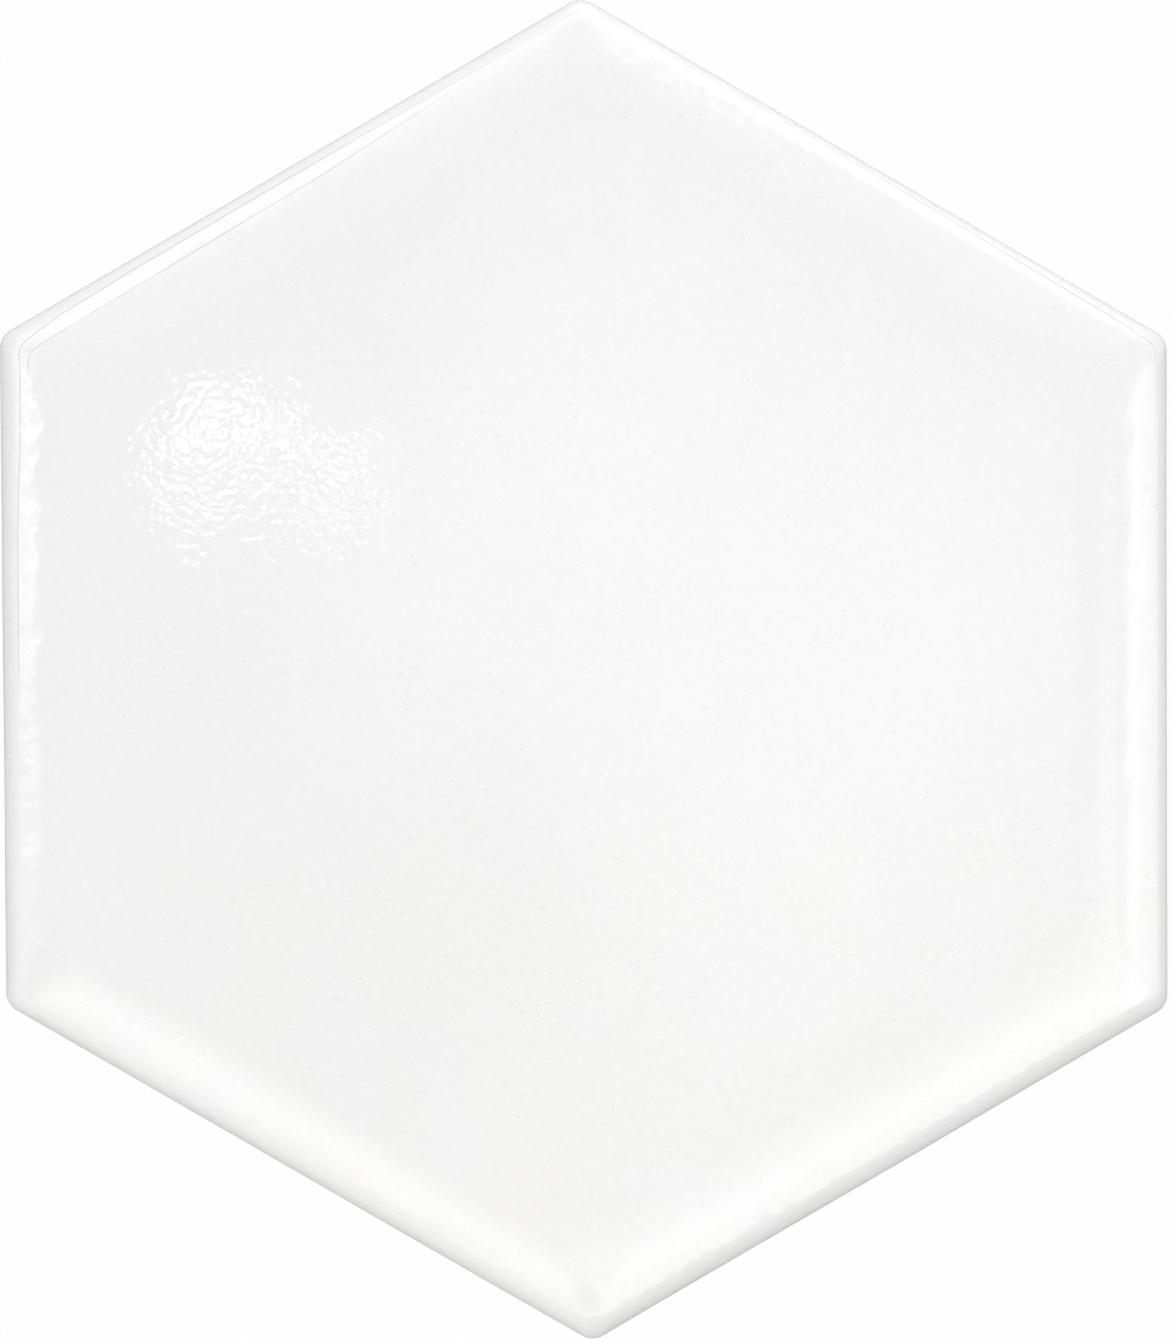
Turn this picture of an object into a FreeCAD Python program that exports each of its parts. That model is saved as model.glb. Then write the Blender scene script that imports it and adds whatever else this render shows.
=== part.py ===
# Hexagonal glazed ceramic floor tile, dry pressed and fired in one piece, in millimetres.
#
# The tile lies as it would on a floor: back on Z = 0, glazed face up, two of its flats facing +X and -X
# and two of its corners pointing along +Y and -Y. The origin is the centre of the back.
#
# From the back up it has a broken arris, a straight wall that faces the next tile across the grout joint,
# a rolled arris, and a cushioned margin that eases into the flat face. The back is keyed for the adhesive
# with a honeycomb of shallow cells inside a plain border.
import FreeCAD, Part
import math
import os
import Sketcher

SIZES = [
    ("across_flats", 150, "width over two opposite walls"),
    ("thickness", 9, "back to glazed face"),
    ("corner_radius", 2.5, "rounding of the six corners, seen from above"),
    ("face_corner_radius", 16, "rounding of the flat face's own outline, inside the margin"),
    ("roll_radius", 3, "rolled arris between the wall and the margin"),
    ("margin_width", 10, "cushioned margin, from the rolled arris to the flat face"),
    ("margin_slope", 11, "degrees that the margin falls at its outer edge"),
    ("back_arris", 0.6, "broken edge where the wall meets the back"),
    ("key_across", 14, "one key cell over its flats, at the back"),
    ("key_rib", 3, "rib between two key cells, at the back"),
    ("key_depth", 0.8, "depth of the key cells"),
    ("key_draft", 14, "degrees that the cells' walls lean, to leave the die"),
    ("key_border", 6, "least plain border between the wall and the key cells"),
]

SIDES = 6
SIDE_TURN = 360 // SIDES
HALF_TURN = SIDE_TURN // 2
SQUARE = 90
CORNER_STRETCH = 1 / math.cos(math.radians(HALF_TURN))
ROLL_STEPS = 6
MARGIN_STEPS = 3
RHOMBI = SIDES // 2
FLATNESS = 1e-6
UP = FreeCAD.Vector(0, 0, 1)
CENTRE = FreeCAD.Vector(0, 0, 0)

# How Sketcher counts a sketch's own origin, and the ends and middle of a line, arc or circle.
ORIGIN = -1
START, END, MIDDLE = range(1, 4)

# Sizes that follow from the sheet, as expressions.
MARGIN_RADIUS = "(Sizes.margin_width / sin(Sizes.margin_slope))"
ROLL_INSET = "(Sizes.roll_radius * (1 - sin(Sizes.margin_slope)))"
FACE_INSET = f"({ROLL_INSET} + Sizes.margin_width)"
MARGIN_RISE = f"({MARGIN_RADIUS} * (1 - cos(Sizes.margin_slope)))"
WALL_HEIGHT = f"(Sizes.thickness - {MARGIN_RISE} - Sizes.roll_radius * cos(Sizes.margin_slope))"
KEY_PITCH = "(Sizes.key_across + Sizes.key_rib)"
KEY_FIELD = f"(Sizes.across_flats / 2 - Sizes.key_border - Sizes.key_across / 2 / cos({HALF_TURN}))"
KEY_RINGS = f"floor({KEY_FIELD} / ({KEY_PITCH} * cos({HALF_TURN})))"


def make_sheet():
    """The driving dimensions, one row each: name, value, what it is."""
    made = doc.addObject("Spreadsheet::Sheet", "Sizes")
    for row, (alias, value, note) in enumerate(SIZES, start=1):
        made.set(f"A{row}", alias)
        made.set(f"B{row}", str(value))
        made.set(f"C{row}", note)
        made.setAlias(f"B{row}", alias)
    doc.recompute()
    return made


def polar(distance, degrees):
    """The point at that distance and bearing from the tile's axis."""
    angle = math.radians(degrees)
    return FreeCAD.Vector(distance * math.cos(angle), distance * math.sin(angle), 0)


def level_sketch(name, height="0"):
    """An empty sketch that lies level in the tile, at a height given as an expression."""
    sketch = tile.newObject("Sketcher::SketchObject", name)
    ground = next(f for f in tile.Origin.OriginFeatures if f.Role == "XY_Plane")
    sketch.AttachmentSupport = (ground, [""])
    sketch.MapMode = "FlatFace"
    sketch.setExpression(".AttachmentOffset.Base.z", height)
    return sketch


def constrain(sketch, *terms):
    """Adds one constraint to a sketch and returns its number."""
    return sketch.addConstraint(Sketcher.Constraint(*terms))


def dimension(sketch, name, expression, *terms):
    """Adds a named dimension to a sketch, as first drawn, and binds it to the sheet."""
    index = constrain(sketch, *terms)
    sketch.renameConstraint(index, name)
    sketch.setExpression(f"Constraints.{name}", expression)


def inscribed_circle(sketch, centre, across, expression):
    """A construction circle that a hexagon's sides touch, with the hexagon's width as its diameter."""
    circle = sketch.addGeometry(Part.Circle(centre, UP, across / 2), True)
    dimension(sketch, "across_flats", expression, "Diameter", circle, across)
    return circle


def tile_outline(name, inset, height):
    """The tile's outline at one level: a regular hexagon inset from the walls, with rounded corners.

    The corners open out from the corner radius at the walls to the flat face's own radius. The outline is
    drawn as it is at the walls, and its dimensions then bring it in."""
    across = sheet.get("across_flats")
    rounding = sheet.get("corner_radius")
    opening = f"(Sizes.face_corner_radius - Sizes.corner_radius) * {inset} / {FACE_INSET}"
    sketch = level_sketch(name, height)
    reach = (across / 2 - rounding) * CORNER_STRETCH
    centres = [polar(reach, SIDE_TURN * i + HALF_TURN) for i in range(SIDES)]
    sides = []
    corners = []
    for i in range(SIDES):
        out = polar(rounding, SIDE_TURN * i)
        side = Part.LineSegment(centres[i - 1] + out, centres[i] + out)
        circle = Part.Circle(centres[i], UP, rounding)
        corner = Part.ArcOfCircle(circle, math.radians(SIDE_TURN * i), math.radians(SIDE_TURN * (i + 1)))
        sides.append(sketch.addGeometry(side))
        corners.append(sketch.addGeometry(corner))
    inscribed = inscribed_circle(sketch, CENTRE, across, f"Sizes.across_flats - 2 * {inset}")
    constrain(sketch, "Coincident", inscribed, MIDDLE, ORIGIN, START)
    for i in range(SIDES):
        constrain(sketch, "Angle", sides[i], math.radians(SIDE_TURN * i + SQUARE))
        constrain(sketch, "Tangent", sides[i], inscribed)
        constrain(sketch, "Tangent", sides[i - 1], END, corners[i - 1], START)
        constrain(sketch, "Tangent", corners[i - 1], END, sides[i], START)
    for corner in corners[1:]:
        constrain(sketch, "Equal", corners[0], corner)
    dimension(sketch, "corner_radius", f"Sizes.corner_radius + {opening}", "Radius", corners[0], rounding)
    return sketch


def roll_outline(step):
    """The outline part of the way round the rolled arris: step 0 at the wall, the last at the margin."""
    turn = f"({step} / {ROLL_STEPS} * ({SQUARE} - Sizes.margin_slope))"
    inset = f"(Sizes.roll_radius * (1 - cos{turn}))"
    return tile_outline(f"RollOutline{step}", inset, f"{WALL_HEIGHT} + Sizes.roll_radius * sin{turn}")


def margin_outline(step):
    """The outline part of the way over the margin: step 0 at the rolled arris, the last at the flat face."""
    slope = f"({MARGIN_STEPS - step} / {MARGIN_STEPS} * Sizes.margin_slope)"
    inset = f"({FACE_INSET} - {MARGIN_RADIUS} * sin{slope})"
    return tile_outline(f"MarginOutline{step}", inset, f"Sizes.thickness - {MARGIN_RADIUS} * (1 - cos{slope})")


def make_wall():
    """The straight wall, from the back up to the rolled arris."""
    wall = tile.newObject("PartDesign::Pad", "Wall")
    wall.Profile = tile_outline("WallOutline", "0", "0")
    wall.setExpression("Length", WALL_HEIGHT)
    doc.recompute()


def make_loft(name, outlines):
    """A smooth skin through a stack of outlines, closed to a solid and joined to the tile."""
    loft = tile.newObject("PartDesign::AdditiveLoft", name)
    loft.Profile = outlines[0]
    loft.Sections = outlines[1:]
    loft.Ruled = False
    doc.recompute()


def break_back_arris():
    """Breaks the edge all round the back, as the press leaves it."""
    base = tile.Tip
    edges = enumerate(base.Shape.Edges, start=1)
    at_back = [f"Edge{number}" for number, edge in edges if edge.BoundBox.ZMax < FLATNESS]
    arris = tile.newObject("PartDesign::Chamfer", "BackArris")
    arris.Base = (base, at_back)
    arris.setExpression("Size", "Sizes.back_arris")
    doc.recompute()


def key_hexagon(sketch, centre):
    """Draws a key cell's outline round a point, with a flat towards each of the cells around it."""
    across = sheet.get("key_across")
    tips = [centre + polar(across / 2 * CORNER_STRETCH, SIDE_TURN * i) for i in range(SIDES)]
    sides = [sketch.addGeometry(Part.LineSegment(tips[i - 1], tips[i])) for i in range(SIDES)]
    inscribed = inscribed_circle(sketch, centre, across, "Sizes.key_across")
    for i in range(SIDES):
        constrain(sketch, "Angle", sides[i], math.radians(SIDE_TURN * i - HALF_TURN + SQUARE))
        constrain(sketch, "Tangent", sides[i], inscribed)
        constrain(sketch, "Coincident", sides[i - 1], END, sides[i], START)
    return inscribed


def key_pocket(name, sketch):
    """Presses a cell of that outline into the back, with walls that lean in so that it leaves the die."""
    pocket = tile.newObject("PartDesign::Pocket", name)
    pocket.Profile = sketch
    pocket.Reversed = True
    pocket.setExpression("Length", "Sizes.key_depth")
    pocket.setExpression("TaperAngle", "-Sizes.key_draft")
    doc.recompute()
    return pocket


def make_centre_key():
    """The honeycomb's middle cell, on the tile's axis."""
    sketch = level_sketch("CentreKeyOutline")
    inscribed = key_hexagon(sketch, CENTRE)
    constrain(sketch, "Coincident", inscribed, MIDDLE, ORIGIN, START)
    return key_pocket("CentreKey", sketch)


def make_key():
    """The cell one pitch out from the axis. Two construction lines leave the axis, along the sides of
    the rhombus that the cell is repeated over, and the cell sits at the end of the first."""
    sketch = level_sketch("KeyOutline")
    pitch = sheet.get("key_across") + sheet.get("key_rib")
    rays = []
    for bearing in (HALF_TURN, HALF_TURN + 2 * SIDE_TURN):
        ray = sketch.addGeometry(Part.LineSegment(CENTRE, polar(pitch, bearing)), True)
        constrain(sketch, "Coincident", ray, START, ORIGIN, START)
        constrain(sketch, "Angle", ray, math.radians(bearing))
        rays.append(ray)
    constrain(sketch, "Equal", rays[0], rays[1])
    dimension(sketch, "pitch", KEY_PITCH, "Distance", rays[0], pitch)
    inscribed = key_hexagon(sketch, polar(pitch, HALF_TURN))
    constrain(sketch, "Coincident", inscribed, MIDDLE, rays[0], END)
    return key_pocket("Key", sketch)


def make_honeycomb():
    """Fills the back with cells: the first one repeated over a rhombus, as many each way as there are
    rings, and the rhombus turned round the middle cell until three of them close the hexagon."""
    cell = make_key()
    rhombus = tile.newObject("PartDesign::LinearPattern", "KeyRhombus")
    rhombus.Direction = (cell.Profile[0], ["Axis0"])
    rhombus.Mode = "Extent"
    rhombus.setExpression("Length", f"({KEY_RINGS} - 1) * {KEY_PITCH}")
    rhombus.setExpression("Occurrences", KEY_RINGS)
    rhombus.Direction2 = (cell.Profile[0], ["Axis1"])
    rhombus.Mode2 = "Extent"
    rhombus.setExpression("Length2", f"{KEY_RINGS} * {KEY_PITCH}")
    rhombus.setExpression("Occurrences2", f"{KEY_RINGS} + 1")
    turned = tile.newObject("PartDesign::PolarPattern", "KeyTurn")
    turned.Axis = (cell.Profile[0], ["N_Axis"])
    turned.Angle = SIDES * SIDE_TURN
    turned.Occurrences = RHOMBI
    honeycomb = tile.newObject("PartDesign::MultiTransform", "Honeycomb")
    honeycomb.Originals = [cell]
    honeycomb.Transformations = [rhombus, turned]
    tile.Tip = honeycomb
    doc.recompute()


def check():
    """Stops unless every feature was made, the tile is one sound solid and the keys cut into it."""
    failed = [thing.Label for thing in doc.Objects if {"Invalid", "Error"} & set(thing.State)]
    if failed:
        raise RuntimeError(f"not made: {failed}")
    if tile.Shape.isNull() or not tile.Shape.isValid() or len(tile.Shape.Solids) != 1:
        raise RuntimeError("the tile is not one sound solid")
    if not tile.Shape.Volume < centre_key.Shape.Volume < arris_volume:
        raise RuntimeError("the key cells did not cut into the back")


doc = FreeCAD.newDocument("hexagon_tile")
sheet = make_sheet()
tile = doc.addObject("PartDesign::Body", "Tile")
tile.Label = "hexagon_tile"
make_wall()
make_loft("RolledArris", [roll_outline(step) for step in range(ROLL_STEPS + 1)])
make_loft("CushionedMargin", [margin_outline(step) for step in range(MARGIN_STEPS + 1)])
break_back_arris()
arris_volume = tile.Shape.Volume
centre_key = make_centre_key()
make_honeycomb()
check()

os.makedirs("parts", exist_ok=True)
tile.Shape.exportStep(f"parts/{tile.Label}.step")
print(f"{tile.Label}: {tile.Shape.Volume:.1f} cubic mm, {len(tile.Shape.Faces)} faces")
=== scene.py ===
import math

import bmesh
import bpy
from mathutils import Matrix, Vector, noise


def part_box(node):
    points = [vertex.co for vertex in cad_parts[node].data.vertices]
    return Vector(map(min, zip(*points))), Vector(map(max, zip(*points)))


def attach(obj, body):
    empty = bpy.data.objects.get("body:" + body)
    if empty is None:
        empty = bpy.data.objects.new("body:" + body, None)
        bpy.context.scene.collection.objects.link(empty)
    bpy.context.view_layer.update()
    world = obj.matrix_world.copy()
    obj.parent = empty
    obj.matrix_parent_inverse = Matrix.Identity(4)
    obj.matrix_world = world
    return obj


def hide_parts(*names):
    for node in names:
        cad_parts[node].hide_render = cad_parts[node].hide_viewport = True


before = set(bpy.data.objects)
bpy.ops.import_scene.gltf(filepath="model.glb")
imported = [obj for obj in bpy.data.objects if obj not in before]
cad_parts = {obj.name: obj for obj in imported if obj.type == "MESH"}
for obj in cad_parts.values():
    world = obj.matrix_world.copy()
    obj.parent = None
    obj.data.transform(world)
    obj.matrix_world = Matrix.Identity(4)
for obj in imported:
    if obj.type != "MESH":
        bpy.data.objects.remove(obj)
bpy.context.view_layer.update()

# The tile's glazed side: one piece of white-firing clay, dry pressed, so it has a straight wall, a
# rolled arris, a margin that falls away a little and a flat face. The glaze is sprayed from above and
# ends low on the wall in a wandering lip, and the bare clay shows under it.
MM = 0.001
tile_low, tile_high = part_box("hexagon_tile")
APOTHEM = (tile_high.x - tile_low.x) / 2
THICKNESS = tile_high.z
SIDES = 6
HALF_TURN = math.pi / SIDES
SIDE_TURN = 2 * HALF_TURN
CORNER_RADIUS = 2.5 * MM
FACE_CORNER_RADIUS = 16 * MM
ROLL_RADIUS = 3 * MM
MARGIN_WIDTH = 10 * MM
MARGIN_SLOPE = math.radians(11)
MARGIN_RADIUS = MARGIN_WIDTH / math.sin(MARGIN_SLOPE)
ROLL_INSET = ROLL_RADIUS * (1 - math.sin(MARGIN_SLOPE))
FACE_INSET = ROLL_INSET + MARGIN_WIDTH
WALL_TOP = (THICKNESS - MARGIN_RADIUS * (1 - math.cos(MARGIN_SLOPE))
            - ROLL_RADIUS * math.cos(MARGIN_SLOPE))
BACK_ARRIS = 0.6 * MM
GLAZE_LINE = 2.2 * MM
GLAZE_LIP = 0.12 * MM
CORNER_STEPS = 8
SIDE_STEPS = 48
WALL_STEPS = 3
ROLL_STEPS = 40
MARGIN_STEPS = 18
FACE_STEPS = 40
GLAZED, BARE = range(2)

mesh = bmesh.new()
inset_of = mesh.verts.layers.float.new("inset")
height_of = mesh.verts.layers.float.new("height")
outer_edge_of = mesh.verts.layers.float.new("outer_painted_edge")
inner_edge_of = mesh.verts.layers.float.new("inner_painted_edge")
levels = []
LEVEL_GAP = 5 * MM


def add_level(inset, height):
    """Adds one level of the tile: a hexagon of edges, inset from the walls, whose rounded corners open
    out towards the flat face. The levels are made well apart, so that they join in order."""
    rounding = CORNER_RADIUS + (FACE_CORNER_RADIUS - CORNER_RADIUS) * inset / FACE_INSET
    level = Matrix.Translation((0, 0, LEVEL_GAP * len(levels)))
    radius = (APOTHEM - inset) / math.cos(HALF_TURN)
    tips = bmesh.ops.create_circle(mesh, segments=SIDES, radius=radius, matrix=level)["verts"]
    cut = bmesh.ops.bevel(mesh, geom=tips, affect="VERTICES", offset=rounding * math.tan(HALF_TURN),
                          segments=CORNER_STEPS, profile=0.5, material=-1)
    corners = cut["edges"]
    ends = dict.fromkeys(edge for vert in cut["verts"] for edge in vert.link_edges)
    sides = [edge for edge in ends if edge not in corners]
    split = bmesh.ops.subdivide_edges(mesh, edges=sides, cuts=SIDE_STEPS - 1)
    pieces = [part for part in split["geom"] if isinstance(part, bmesh.types.BMEdge)]
    edges = list(dict.fromkeys(corners + pieces))
    for vert in {vert for edge in edges for vert in edge.verts}:
        vert[inset_of] = inset / MM
        vert[height_of] = height
    levels.append(edges)


add_level(BACK_ARRIS, 0.0)
add_level(GLAZE_LIP, BACK_ARRIS)
add_level(GLAZE_LIP, GLAZE_LINE)
clay_levels = len(levels)
for step in range(WALL_STEPS + 1):
    add_level(0.0, GLAZE_LINE + (WALL_TOP - GLAZE_LINE) * step / WALL_STEPS)
for step in range(1, ROLL_STEPS + 1):
    turn = step / ROLL_STEPS * (math.pi / 2 - MARGIN_SLOPE)
    add_level(ROLL_RADIUS * (1 - math.cos(turn)), WALL_TOP + ROLL_RADIUS * math.sin(turn))
for step in range(1, MARGIN_STEPS + 1):
    slope = (1 - step / MARGIN_STEPS) * MARGIN_SLOPE
    fall = MARGIN_RADIUS * (1 - math.cos(slope))
    add_level(FACE_INSET - MARGIN_RADIUS * math.sin(slope), THICKNESS - fall)
for count, (lower, upper) in enumerate(zip(levels, levels[1:]), start=2):
    for face in bmesh.ops.bridge_loops(mesh, edges=lower + upper)["faces"]:
        face.material_index = BARE if count <= clay_levels else GLAZED
for vert in mesh.verts:
    vert.co.z = vert[height_of]

flat = bmesh.ops.contextual_create(mesh, geom=levels[-1])["faces"]
for step in range(FACE_STEPS, 1, -1):
    bmesh.ops.inset_individual(mesh, faces=flat, thickness=0.0)
    shrink = (step - 1) / step
    bmesh.ops.scale(mesh, vec=(shrink, shrink, 1), verts=flat[0].verts)
flat[0].material_index = GLAZED
bmesh.ops.poke(mesh, faces=flat)

# The tile's back: a honeycomb of key cells that the die presses into the bare clay for the adhesive
# to grip. Their walls lean so that the tile leaves the die, and a plain border runs round them.
KEY_ACROSS = 14 * MM
KEY_RIB = 3 * MM
KEY_PITCH = KEY_ACROSS + KEY_RIB
KEY_DEPTH = 0.8 * MM
KEY_DRAFT = math.radians(14)
KEY_LEAN = KEY_DEPTH * math.tan(KEY_DRAFT)
KEY_RINGS = 4
TOUCHING = 0.01 * MM

row = Vector((math.cos(HALF_TURN), math.sin(HALF_TURN), 0)) * KEY_PITCH
slant = Vector((-row.x, row.y, 0))
places = [row * i + slant * j for i in range(-KEY_RINGS, KEY_RINGS + 1)
          for j in range(-KEY_RINGS, KEY_RINGS + 1) if abs(i - j) <= KEY_RINGS]
corners = []
for place in places:
    stand = Matrix.Translation(place) @ Matrix.Rotation(HALF_TURN, 4, "Z")
    corners += bmesh.ops.create_circle(mesh, cap_ends=True, segments=SIDES, matrix=stand,
                                       radius=KEY_PITCH / 2 / math.cos(HALF_TURN))["verts"]
bmesh.ops.remove_doubles(mesh, verts=corners, dist=TOUCHING)
cells = list(dict.fromkeys(face for vert in corners if vert.is_valid for face in vert.link_faces))
rim = [edge for cell in cells for edge in cell.edges if edge.is_boundary]
bmesh.ops.triangle_fill(mesh, edges=rim + levels[0], use_beauty=True)
bmesh.ops.inset_individual(mesh, faces=cells, thickness=KEY_RIB / 2)
bmesh.ops.inset_individual(mesh, faces=cells, thickness=KEY_LEAN)
bmesh.ops.translate(mesh, verts=list({vert for cell in cells for vert in cell.verts}),
                    vec=(0, 0, KEY_DEPTH))
for face in mesh.faces:
    if max(vert.co.z for vert in face.verts) < KEY_DEPTH + TOUCHING:
        face.material_index = BARE
bmesh.ops.recalc_face_normals(mesh, faces=mesh.faces)

# The tile's unevenness: a pressed and fired tile is never quite true. Its corners end a few tenths of
# a millimetre off the die's, its walls bow by hundredths, the glaze settles in shallow waves over its
# face, and the lip where the glaze ends wanders up and down the wall.
CORNER_DRIFT = ((0.63, 0.03), (-0.09, -0.21), (0.05, -0.65), (-0.36, 0.31), (-0.39, 0.04), (0.17, 0.48))
WAVES = ((26 * MM, 0.045 * MM), (9 * MM, 0.010 * MM), (3.2 * MM, 0.0035 * MM))
BOW_LENGTH = 45 * MM
BOW = 0.06 * MM
LIP_LENGTH = 7 * MM
LIP_WANDER = 0.35 * MM
LIP_REACH = 1.4 * MM


def smooth(value, start, end):
    """Rises gently from 0 at the start to 1 at the end."""
    share = min(max((value - start) / (end - start), 0), 1)
    return share * share * (3 - 2 * share)


def drift(place):
    """How far the kiln moves a point: the two corners beside it pull it, all the more near the walls."""
    turns = (math.atan2(place.y, place.x) + math.pi / 2) / SIDE_TURN
    count = math.floor(turns)
    off_middle = (turns - count - 0.5) * SIDE_TURN
    share = 0.5 + math.tan(off_middle) / math.tan(HALF_TURN) / 2
    pulls = [Vector((*CORNER_DRIFT[corner % SIDES], 0)) * MM for corner in (count, count + 1)]
    reach = math.hypot(place.x, place.y) * math.cos(off_middle) / APOTHEM
    return pulls[0].lerp(pulls[1], share) * reach


mesh.normal_update()
moves = {}
for vert in mesh.verts:
    place = vert.co.copy()
    glazed = smooth(place.z, GLAZE_LINE, WALL_TOP)
    swell = sum(depth * noise.noise(place / length + Vector((length / MM, 0, 0)))
                for length, depth in WAVES)
    move = drift(place) + vert.normal * swell * glazed
    outward = Vector((place.x, place.y, 0))
    if outward.length > APOTHEM / 2:
        bow = BOW * noise.noise(outward / BOW_LENGTH)
        move += outward.normalized() * bow * smooth(outward.length, APOTHEM / 2, APOTHEM)
    if vert[inset_of] <= GLAZE_LIP / MM and place.z > BACK_ARRIS:
        near = 1 - smooth(abs(place.z - GLAZE_LINE), 0, LIP_REACH)
        move.z += LIP_WANDER * noise.noise(place / LIP_LENGTH) * near
    moves[vert] = move

# Painted reflection edges: two dark hairlines painted into the glaze's colour along the roll, at the
# edges of the lamps' bright reflection bands. Each row gives a bearing off the tile's centre, how far
# in from the wall the line runs there, and how strong it is. Round the lower sides, where the bands are
# dim, there are none.
OUTER_PAINTED_EDGE = ((27, 1.5, 0), (31, 1.6, 0.8), (34, 1.36, 1), (55, 0.95, 0.9), (62, 0.93, 0.4),
              (89, 0.93, 0.3), (92, 1.8, 0.3), (100, 1.6, 0.4), (112, 1.4, 0.5), (120, 1.36, 0.9),
              (138, 1.42, 0.9), (146, 1.75, 0.8), (151.5, 2.75, 0.9), (157, 2.7, 1), (162, 2.45, 1),
              (166, 2.3, 1), (178, 2.25, 0.8), (184, 2.25, 0))
INNER_PAINTED_EDGE = ((96, 2.3, 0), (104, 2.4, 0.4), (110, 2.8, 0.6), (118, 3.25, 0.9), (126, 3.3, 0.9),
              (134, 3.45, 0.9), (143, 3.6, 0.8), (151.5, 3.8, 0.7), (154, 4.0, 0))
LINE_CORNER = 0.5
FAR_OFF = 99.0
FAINT = 0.05
SHARP_ANGLE = math.radians(35)


def wall_distance(place):
    """How far in from the walls a point lies, in millimetres, eased where two walls meet."""
    facing = [Vector((math.cos(side * SIDE_TURN), math.sin(side * SIDE_TURN), 0)) for side in range(SIDES)]
    nearness = sum(math.exp((place.dot(wall) - APOTHEM) / MM / LINE_CORNER) for wall in facing)
    return -LINE_CORNER * math.log(nearness)


def painted_edge_distance(line, bearing, inset):
    """How far a point lies off a painted reflection edge, in millimetres. It grows as the line gets
    fainter.
    """
    for (start, near, strong), (end, far, weak) in zip(line, line[1:]):
        if start <= bearing <= end:
            share = (bearing - start) / (end - start)
            strength = strong + (weak - strong) * share
            if strength > FAINT:
                return (inset - near - (far - near) * share) / strength
    return FAR_OFF


for vert in mesh.verts:
    bearing = math.degrees(math.atan2(vert.co.y, vert.co.x)) % 360
    inset = wall_distance(vert.co)
    vert[outer_edge_of] = painted_edge_distance(OUTER_PAINTED_EDGE, bearing, inset)
    vert[inner_edge_of] = painted_edge_distance(INNER_PAINTED_EDGE, bearing, inset)
for vert, move in moves.items():
    vert.co += move

tile_mesh = bpy.data.meshes.new("glazed_tile")
mesh.to_mesh(tile_mesh)
mesh.free()
tile_mesh.shade_smooth()
tile_mesh.set_sharp_from_angle(angle=SHARP_ANGLE)
tile = bpy.data.objects.new("glazed_tile", tile_mesh)
bpy.context.scene.collection.objects.link(tile)
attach(tile, "root")
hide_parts("hexagon_tile")


# The tile's two surfaces: a white gloss glaze, opacified with zircon, and the pale fired clay, which
# is matt and chalky.
def linear(hex_colour):
    """An sRGB hex colour as the linear values that a shader takes."""
    parts = [int(hex_colour[i:i + 2], 16) / 255 for i in (1, 3, 5)]
    return [p / 12.92 if p <= 0.04045 else ((p + 0.055) / 1.055) ** 2.4 for p in parts] + [1]


def add(tree, kind, settings={}, **links):
    """Adds a node with its settings, and gives its sockets a value or another node's output each."""
    node = tree.nodes.new(kind)
    for name, value in settings.items():
        setattr(node, name, value)
    for name, value in links.items():
        key = name.replace("_", " ")
        socket = node.inputs[int(key[2:])] if key.startswith("at") else node.inputs[key]
        if isinstance(value, bpy.types.NodeSocket):
            tree.links.new(value, socket)
        else:
            socket.default_value = value
    return node.outputs[0]


def times(tree, value, factor):
    """One value times another."""
    return add(tree, "ShaderNodeMath", {"operation": "MULTIPLY"}, at0=value, at1=factor)


def mottle(tree, place, size, detail=1.0):
    """Soft random variation, from 0 to 1, with features of that size."""
    return add(tree, "ShaderNodeTexNoise", Vector=place, Scale=1 / size, Detail=detail)


def fading(tree, value, near, far):
    """1 up to the near value, 0 from the far one."""
    return add(tree, "ShaderNodeMapRange", {"interpolation_type": "SMOOTHSTEP"}, Value=value, From_Min=near,
               From_Max=far, To_Min=1.0, To_Max=0.0)


def blend(tree, share, plain, full):
    """A mix of two colours."""
    node = tree.nodes.new("ShaderNodeMix")
    node.data_type = "RGBA"
    for socket, value in zip((node.inputs[0], node.inputs[6], node.inputs[7]), (share, plain, full)):
        if isinstance(value, bpy.types.NodeSocket):
            tree.links.new(value, socket)
        else:
            socket.default_value = value
    return node.outputs[2]


# White gloss glaze: a clean, cold white that clouds by a tone or so and turns a little warmer towards
# the lower corner. Its wet shine lies over a faint orange peel and a ripple that is stronger where the
# glaze runs down the margin, and it has pinholes. Painted into its colour are a fine random pattern of
# painted shade for the light and shade of the peel, short curled strokes of painted glint, and two dark
# hairlines of painted reflection edge along the roll's bright bands.
# Heights, and how far in from the wall the margin's ripple fades out, are in millimetres.
PEEL = 0.85 * MM
PEEL_HEIGHT = 0.0075
RIPPLE = 2.6 * MM
RIPPLE_HEIGHT = 0.005
MARGIN_GAIN = 12.0
MARGIN_FROM, MARGIN_TO = 4.0, 12.0
CLOUD = 11 * MM
WARMTH = 16 * MM
WARM_FROM, WARM_TO = -70 * MM, -10 * MM
# Painted shade of the orange peel: the size of its fine random darkening, and how strongly it darkens.
PEEL_SHADE = 0.9 * MM
PEEL_SHADE_SHARE = 0.2
# Real pinholes are about a tenth of a millimetre wide, and these are drawn coarser so that they show.
PINHOLE_CELL = 1.15 * MM
PINHOLE_DRIFT = 9 * MM
PINHOLE_RADIUS = 0.13 * MM
PINHOLE_SHARE = 0.4
PINHOLE_DEPTH = 0.02
# Painted glints: white curled strokes, with fainter grey strokes of painted shade, that stand in for the
# lamps' sparkle in the orange peel. Each row gives the level of the noise that a stroke follows, its
# strength and its shade.
GLINT_SIZE = 0.8 * MM
GLINT_BREAK = 1.3 * MM
GLINT_DRIFT = 22 * MM
GLINT_HALF_WIDTH, GLINT_FADE = 0.004, 0.028
PAINTED_GLINTS = ((0.50, 0.15, "#C6C6C6"), (0.56, 0.45, "#FFFFFF"))
LINE_HALF_WIDTH, LINE_FADE = 0.05, 0.12
PAINTED_EDGE_SHARE = 0.8
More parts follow.
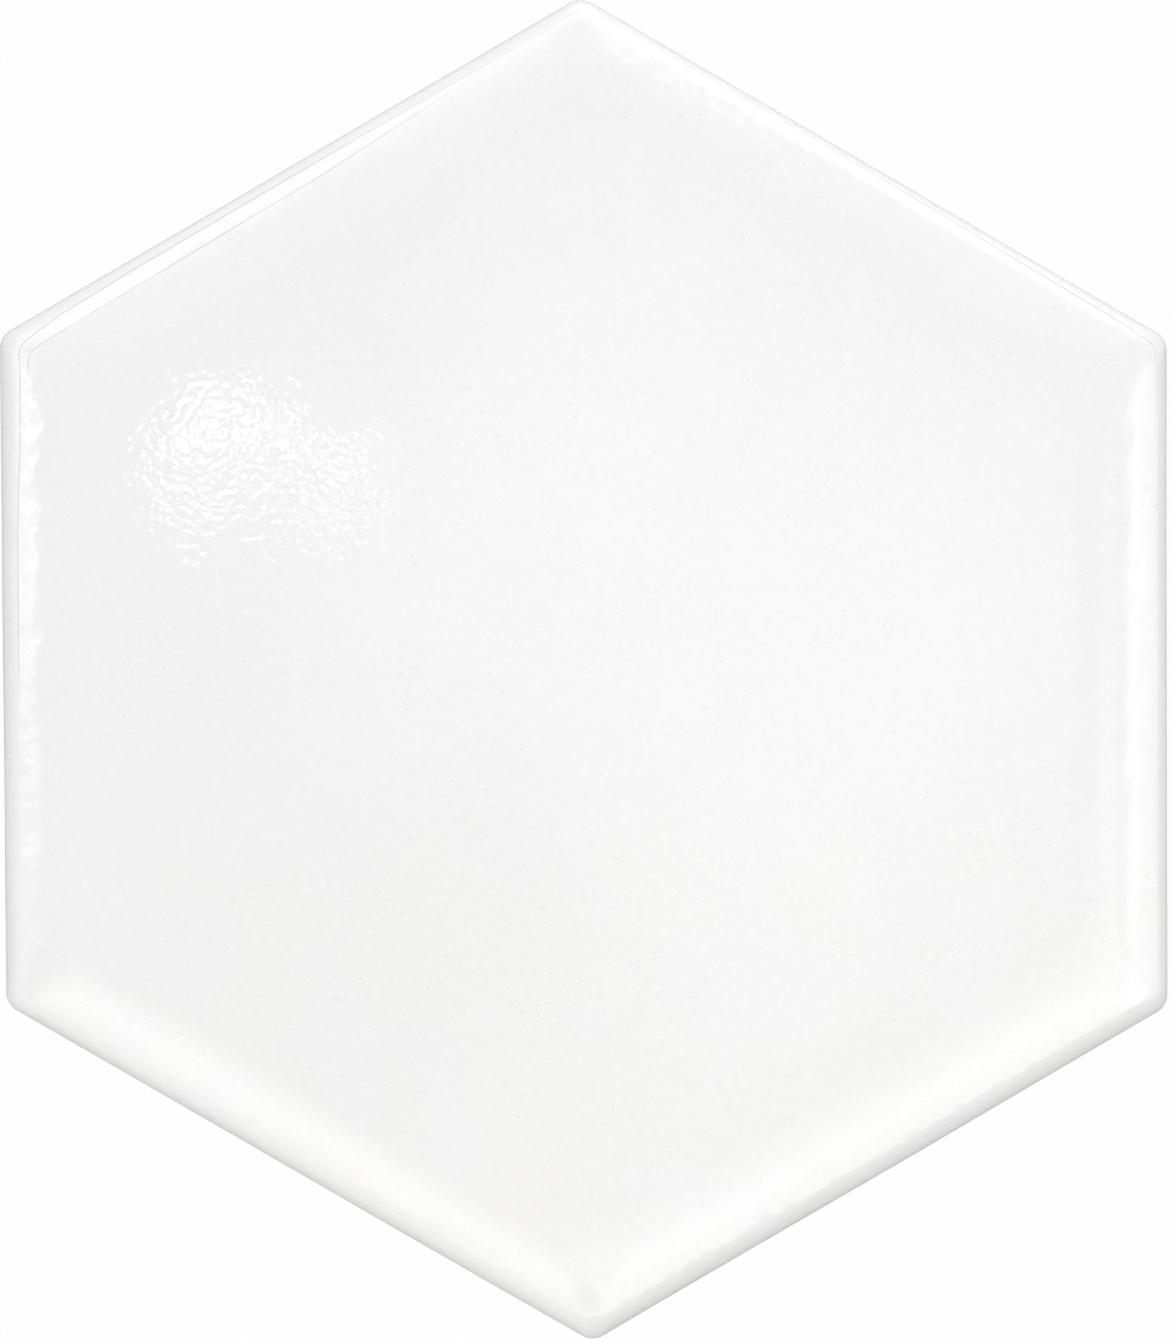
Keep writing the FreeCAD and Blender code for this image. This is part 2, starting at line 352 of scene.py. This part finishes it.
# The patterns are turned, because the noise's own grid would show on a level face.
PATTERN_TURN = (0.6, 0.5, 0.4)
glaze = bpy.data.materials.new("zircon_gloss_glaze")
glaze.use_nodes = True
tree = glaze.node_tree
shader = tree.nodes["Principled BSDF"]
place = tree.nodes.new("ShaderNodeTexCoord").outputs["Object"]
parts = tree.nodes.new("ShaderNodeSeparateXYZ")
tree.links.new(place, parts.inputs[0])
low = fading(tree, parts.outputs["Y"], WARM_FROM, WARM_TO)
place = add(tree, "ShaderNodeMapping", Vector=place, Rotation=PATTERN_TURN)
cloud = blend(tree, mottle(tree, place, CLOUD, 2.0), linear("#F4F4F4"), linear("#F7F7F7"))
warm = times(tree, fading(tree, mottle(tree, place, WARMTH, 2.0), 0.32, 0.66),
             add(tree, "ShaderNodeMapRange", Value=low, To_Min=0.12, To_Max=0.8))
cloud = blend(tree, warm, cloud, linear("#F6F5F2"))
# Painted shade: a fine random darkening of the glaze colour that stands in for the light and shade of the
# orange peel.
fine_mottle = times(tree, mottle(tree, place, PEEL_SHADE, 2.0), PEEL_SHADE_SHARE)
cloud = blend(tree, fine_mottle, cloud, linear("#DADADA"))
pit = add(tree, "ShaderNodeTexVoronoi", Vector=place, Scale=1 / PINHOLE_CELL)
pinhole = fading(tree, pit, PINHOLE_RADIUS / PINHOLE_CELL / 2, PINHOLE_RADIUS / PINHOLE_CELL)
pinhole = times(tree, pinhole, fading(tree, mottle(tree, place, PINHOLE_DRIFT), 0.4, 0.6))
colour = blend(tree, times(tree, pinhole, PINHOLE_SHARE), cloud, linear("#C9C7C2"))
# Painted glints: white curled strokes, with fainter grey strokes of painted shade, painted into the glaze
# colour.
glint_noise = mottle(tree, place, GLINT_SIZE, 0.0)
glint_patches = fading(tree, mottle(tree, place, GLINT_DRIFT), 0.42, 0.68)
broken = fading(tree, mottle(tree, place, GLINT_BREAK), 0.45, 0.53)
glint_patches = times(tree, glint_patches, broken)
for tone, strength, shade in PAINTED_GLINTS:
    off = add(tree, "ShaderNodeMath", {"operation": "SUBTRACT"}, at0=glint_noise, at1=tone)
    off = add(tree, "ShaderNodeMath", {"operation": "ABSOLUTE"}, at0=off)
    glint = times(tree, fading(tree, off, GLINT_HALF_WIDTH, GLINT_FADE), glint_patches)
    colour = blend(tree, times(tree, glint, strength), colour, linear(shade))
# Painted reflection edges: dark hairlines painted into the glaze colour along the edges of the lamps'
# bright bands.
for line in ("outer_painted_edge", "inner_painted_edge"):
    spread = tree.nodes.new("ShaderNodeAttribute")
    spread.attribute_name = line
    off = add(tree, "ShaderNodeMath", {"operation": "ABSOLUTE"}, at0=spread.outputs["Fac"])
    painted_edge = fading(tree, off, LINE_HALF_WIDTH, LINE_FADE)
    colour = blend(tree, times(tree, painted_edge, PAINTED_EDGE_SHARE), colour, linear("#D2D2D0"))
tree.links.new(colour, shader.inputs["Base Color"])
shader.inputs["Roughness"].default_value = 0.04
shader.inputs["IOR"].default_value = 1.52
margin = tree.nodes.new("ShaderNodeAttribute")
margin.attribute_name = "inset"
running = fading(tree, margin.outputs["Fac"], MARGIN_FROM, MARGIN_TO)
gain = add(tree, "ShaderNodeMapRange", Value=running, To_Min=1.0, To_Max=MARGIN_GAIN)
ripple = times(tree, mottle(tree, place, RIPPLE), RIPPLE_HEIGHT)
height = add(tree, "ShaderNodeMath", {"operation": "MULTIPLY_ADD"}, at0=ripple, at1=gain,
             at2=times(tree, mottle(tree, place, PEEL, 0.0), PEEL_HEIGHT))
height = add(tree, "ShaderNodeMath", {"operation": "SUBTRACT"}, at0=height,
             at1=times(tree, pinhole, PINHOLE_DEPTH))
bump = add(tree, "ShaderNodeBump", Height=height, Distance=MM, Strength=1.0)
tree.links.new(bump, shader.inputs["Normal"])
tile_mesh.materials.append(glaze)

# Fired clay: a warm, chalky off-white that mottles softly, with fine dark grog specks and a granular,
# quite matt surface.
GRAN = 0.35 * MM
GRAN_HEIGHT = 0.03
CHALK = 7 * MM
GROG_CELL = 1.6 * MM
GROG_RADIUS = 0.16 * MM
GROG_SHARE = 0.6
clay = bpy.data.materials.new("pressed_white_clay")
clay.use_nodes = True
tree = clay.node_tree
shader = tree.nodes["Principled BSDF"]
place = tree.nodes.new("ShaderNodeTexCoord").outputs["Object"]
colour = blend(tree, mottle(tree, place, CHALK, 4.0), linear("#D3C7B3"), linear("#E6DECF"))
grog = add(tree, "ShaderNodeTexVoronoi", Vector=place, Scale=1 / GROG_CELL)
speck = fading(tree, grog, GROG_RADIUS / GROG_CELL / 2, GROG_RADIUS / GROG_CELL)
colour = blend(tree, times(tree, speck, GROG_SHARE), colour, linear("#A8967C"))
tree.links.new(colour, shader.inputs["Base Color"])
shader.inputs["Roughness"].default_value = 0.85
fine_mottle = times(tree, mottle(tree, place, GRAN, 2.0), GRAN_HEIGHT)
bump = add(tree, "ShaderNodeBump", Height=fine_mottle, Distance=MM, Strength=1.0)
tree.links.new(bump, shader.inputs["Normal"])
tile_mesh.materials.append(clay)

# The studio: the tile lies on a pale floor, and the camera looks straight down on it. Windows, panes
# and softboxes make the bright bands along the sides, and two bare bulbs the sparkle on the face.
CAMERA_HEIGHT = 0.9
CAMERA_TURN = math.radians(-0.179)
PHOTO_HEIGHT = 1342
PIXELS_PER_METRE = 7752
PIXELS_RIGHT, PIXELS_UP = 0.45, -0.42
SENSOR = 36
camera = bpy.data.objects.new("camera", bpy.data.cameras.new("camera"))
bpy.context.scene.collection.objects.link(camera)
bpy.context.scene.camera = camera
camera.data.sensor_width = SENSOR
camera.data.lens = PIXELS_PER_METRE * (CAMERA_HEIGHT - WALL_TOP) * SENSOR / PHOTO_HEIGHT
camera.location = (PIXELS_RIGHT / PIXELS_PER_METRE, PIXELS_UP / PIXELS_PER_METRE, CAMERA_HEIGHT)
camera.rotation_euler = (0, 0, CAMERA_TURN)

FLOOR_SIZE = 6.0
FLOOR_WHITE = 0.985
floor_mesh = bpy.data.meshes.new("floor")
floor_form = bmesh.new()
bmesh.ops.create_grid(floor_form, x_segments=1, y_segments=1, size=FLOOR_SIZE / 2)
floor_form.to_mesh(floor_mesh)
floor_form.free()
floor = bpy.data.objects.new("floor", floor_mesh)
bpy.context.scene.collection.objects.link(floor)
white = bpy.data.materials.new("white_floor")
white.use_nodes = True
tree = white.node_tree
tree.nodes.clear()
paint = add(tree, "ShaderNodeBsdfDiffuse", Color=linear("#BEBEBE"))
plain = add(tree, "ShaderNodeEmission", Strength=1.0)
seen = tree.nodes.new("ShaderNodeLightPath").outputs["Is Camera Ray"]
share = times(tree, seen, FLOOR_WHITE)
mix = add(tree, "ShaderNodeMixShader", at0=share, at1=paint, at2=plain)
output = tree.nodes.new("ShaderNodeOutputMaterial")
tree.links.new(mix, output.inputs["Surface"])
floor_mesh.materials.append(white)


def softbox(name, bearing, zenith, distance, width, height, radiance, spin=0, sides=0.05, near=0.05,
            far=0.05):
    """A lamp that faces the tile, at a bearing round it and an angle off straight above, turned by the
    spin in its own plane. Its light fades out over a share of its width at the sides, and of its height
    at the end that is nearer to straight above and at the far one."""
    light = bpy.data.lights.new(name, "AREA")
    light.shape = "RECTANGLE"
    light.size = width
    light.size_y = height
    light.energy = radiance * math.pi * width * height
    light.use_nodes = True
    tree = light.node_tree
    spot = tree.nodes.new("ShaderNodeNewGeometry").outputs["Parametric"]
    parts = tree.nodes.new("ShaderNodeSeparateXYZ")
    tree.links.new(spot, parts.inputs[0])
    glow = None
    for along, start, end in (("X", 0, sides), ("X", 1, 1 - sides), ("Y", 0, far), ("Y", 1, 1 - near)):
        fade = add(tree, "ShaderNodeMapRange", {"interpolation_type": "SMOOTHSTEP"},
                   Value=parts.outputs[along], From_Min=start, From_Max=end)
        glow = fade if glow is None else times(tree, glow, fade)
    tree.links.new(glow, tree.nodes["Emission"].inputs["Strength"])
    stand = bpy.data.objects.new(name, light)
    bpy.context.scene.collection.objects.link(stand)
    tilt, turn = math.radians(zenith), math.radians(bearing)
    aim = Vector((math.sin(tilt) * math.cos(turn), math.sin(tilt) * math.sin(turn), math.cos(tilt)))
    across = Vector((-math.sin(turn), math.cos(turn), 0))
    facing = Matrix((across, aim.cross(across), aim)).transposed()
    facing = facing @ Matrix.Rotation(-math.radians(spin), 3, "Z")
    stand.matrix_world = Matrix.Translation(aim * distance) @ facing.to_4x4()


softbox("upper_left_window", 138, 38, 3.00, 2.70, 1.53, 1.35, -21.5, sides=0.008, near=0.01, far=0.01)
softbox("upper_right_window", 74, 65, 1.36, 0.90, 2.00, 1.53, -22.3, sides=0.01, near=0.01, far=0.01)
softbox("right_softbox", 347, 46.6, 1.12, 0.64, 1.20, 1.46, -2.3, sides=0.015, near=0.13, far=0.015)
softbox("lower_right_softbox", 309, 15.4, 1.98, 1.00, 0.99, 2.3, 14.5, sides=0.21, near=0.71, far=0.02)
softbox("lower_left_softbox", 238, 23, 1.30, 0.55, 0.61, 2.48, 3.4, sides=0.27, near=0.49, far=0.49)
softbox("low_left_softbox", 220, 66, 1.17, 2.30, 1.69, 1.01, sides=0.44, near=0.15, far=0.15)
softbox("ceiling_glow", 31, 2.1, 2.00, 0.43, 0.43, 1.08, -26, sides=0.31, near=0.48, far=0.48)
softbox("low_top_strip", 85, 84, 1.20, 1.48, 0.28, 3.35, sides=0.15, near=0.11, far=0.11)
softbox("left_softbox", 188, 33, 1.50, 0.44, 0.46, 0.55, sides=0.15, near=0.05, far=0.05)
softbox("bare_bulb", 148, 5.5, 1.51, 0.009, 0.040, 11.0, -70)
softbox("second_bulb", 142.2, 4.2, 1.51, 0.009, 0.012, 11.0, -70)
softbox("low_glow", 285, 4.2, 1.50, 0.14, 0.22, 0.25, 30, sides=0.3, near=0.3, far=0.3)
softbox("bottom_fill", 270, 26.5, 2.08, 0.50, 0.42, 1.5, sides=0.4, near=0.4, far=0.4)
softbox("upper_left_pane", 120, 26.3, 3.00, 0.70, 0.16, 0.9, sides=0.1, near=0.01, far=0.01)
softbox("right_pane", 0, 24.0, 2.00, 0.38, 0.18, 1.0, 16, sides=0.05, near=0.2, far=0.3)
softbox("lower_right_pane", 300, 20.5, 2.00, 0.60, 0.27, 0.6, sides=0.2, near=0.4, far=0.3)
softbox("right_glow", 352, 15.5, 2.00, 0.60, 0.24, 0.45, sides=0.3, near=0.4, far=0.3)
softbox("left_pane", 170, 25.0, 3.00, 0.20, 0.22, 3.4, 25, sides=0.05, near=0.01, far=0.01)
softbox("top_pane", 68, 24.6, 3.00, 0.20, 0.12, 1.5, -8, sides=0.1, near=0.01, far=0.01)

ROOM_LIGHT = 0.296
world = bpy.data.worlds.new("studio")
bpy.context.scene.world = world
world.use_nodes = True
tree = world.node_tree
seen = tree.nodes.new("ShaderNodeLightPath").outputs["Is Camera Ray"]
level = add(tree, "ShaderNodeMapRange", Value=seen, To_Min=ROOM_LIGHT, To_Max=1.0)
tree.nodes["Background"].inputs["Color"].default_value = (1, 1, 1, 1)
tree.links.new(level, tree.nodes["Background"].inputs["Strength"])

bpy.context.scene.view_settings.view_transform = "Standard"
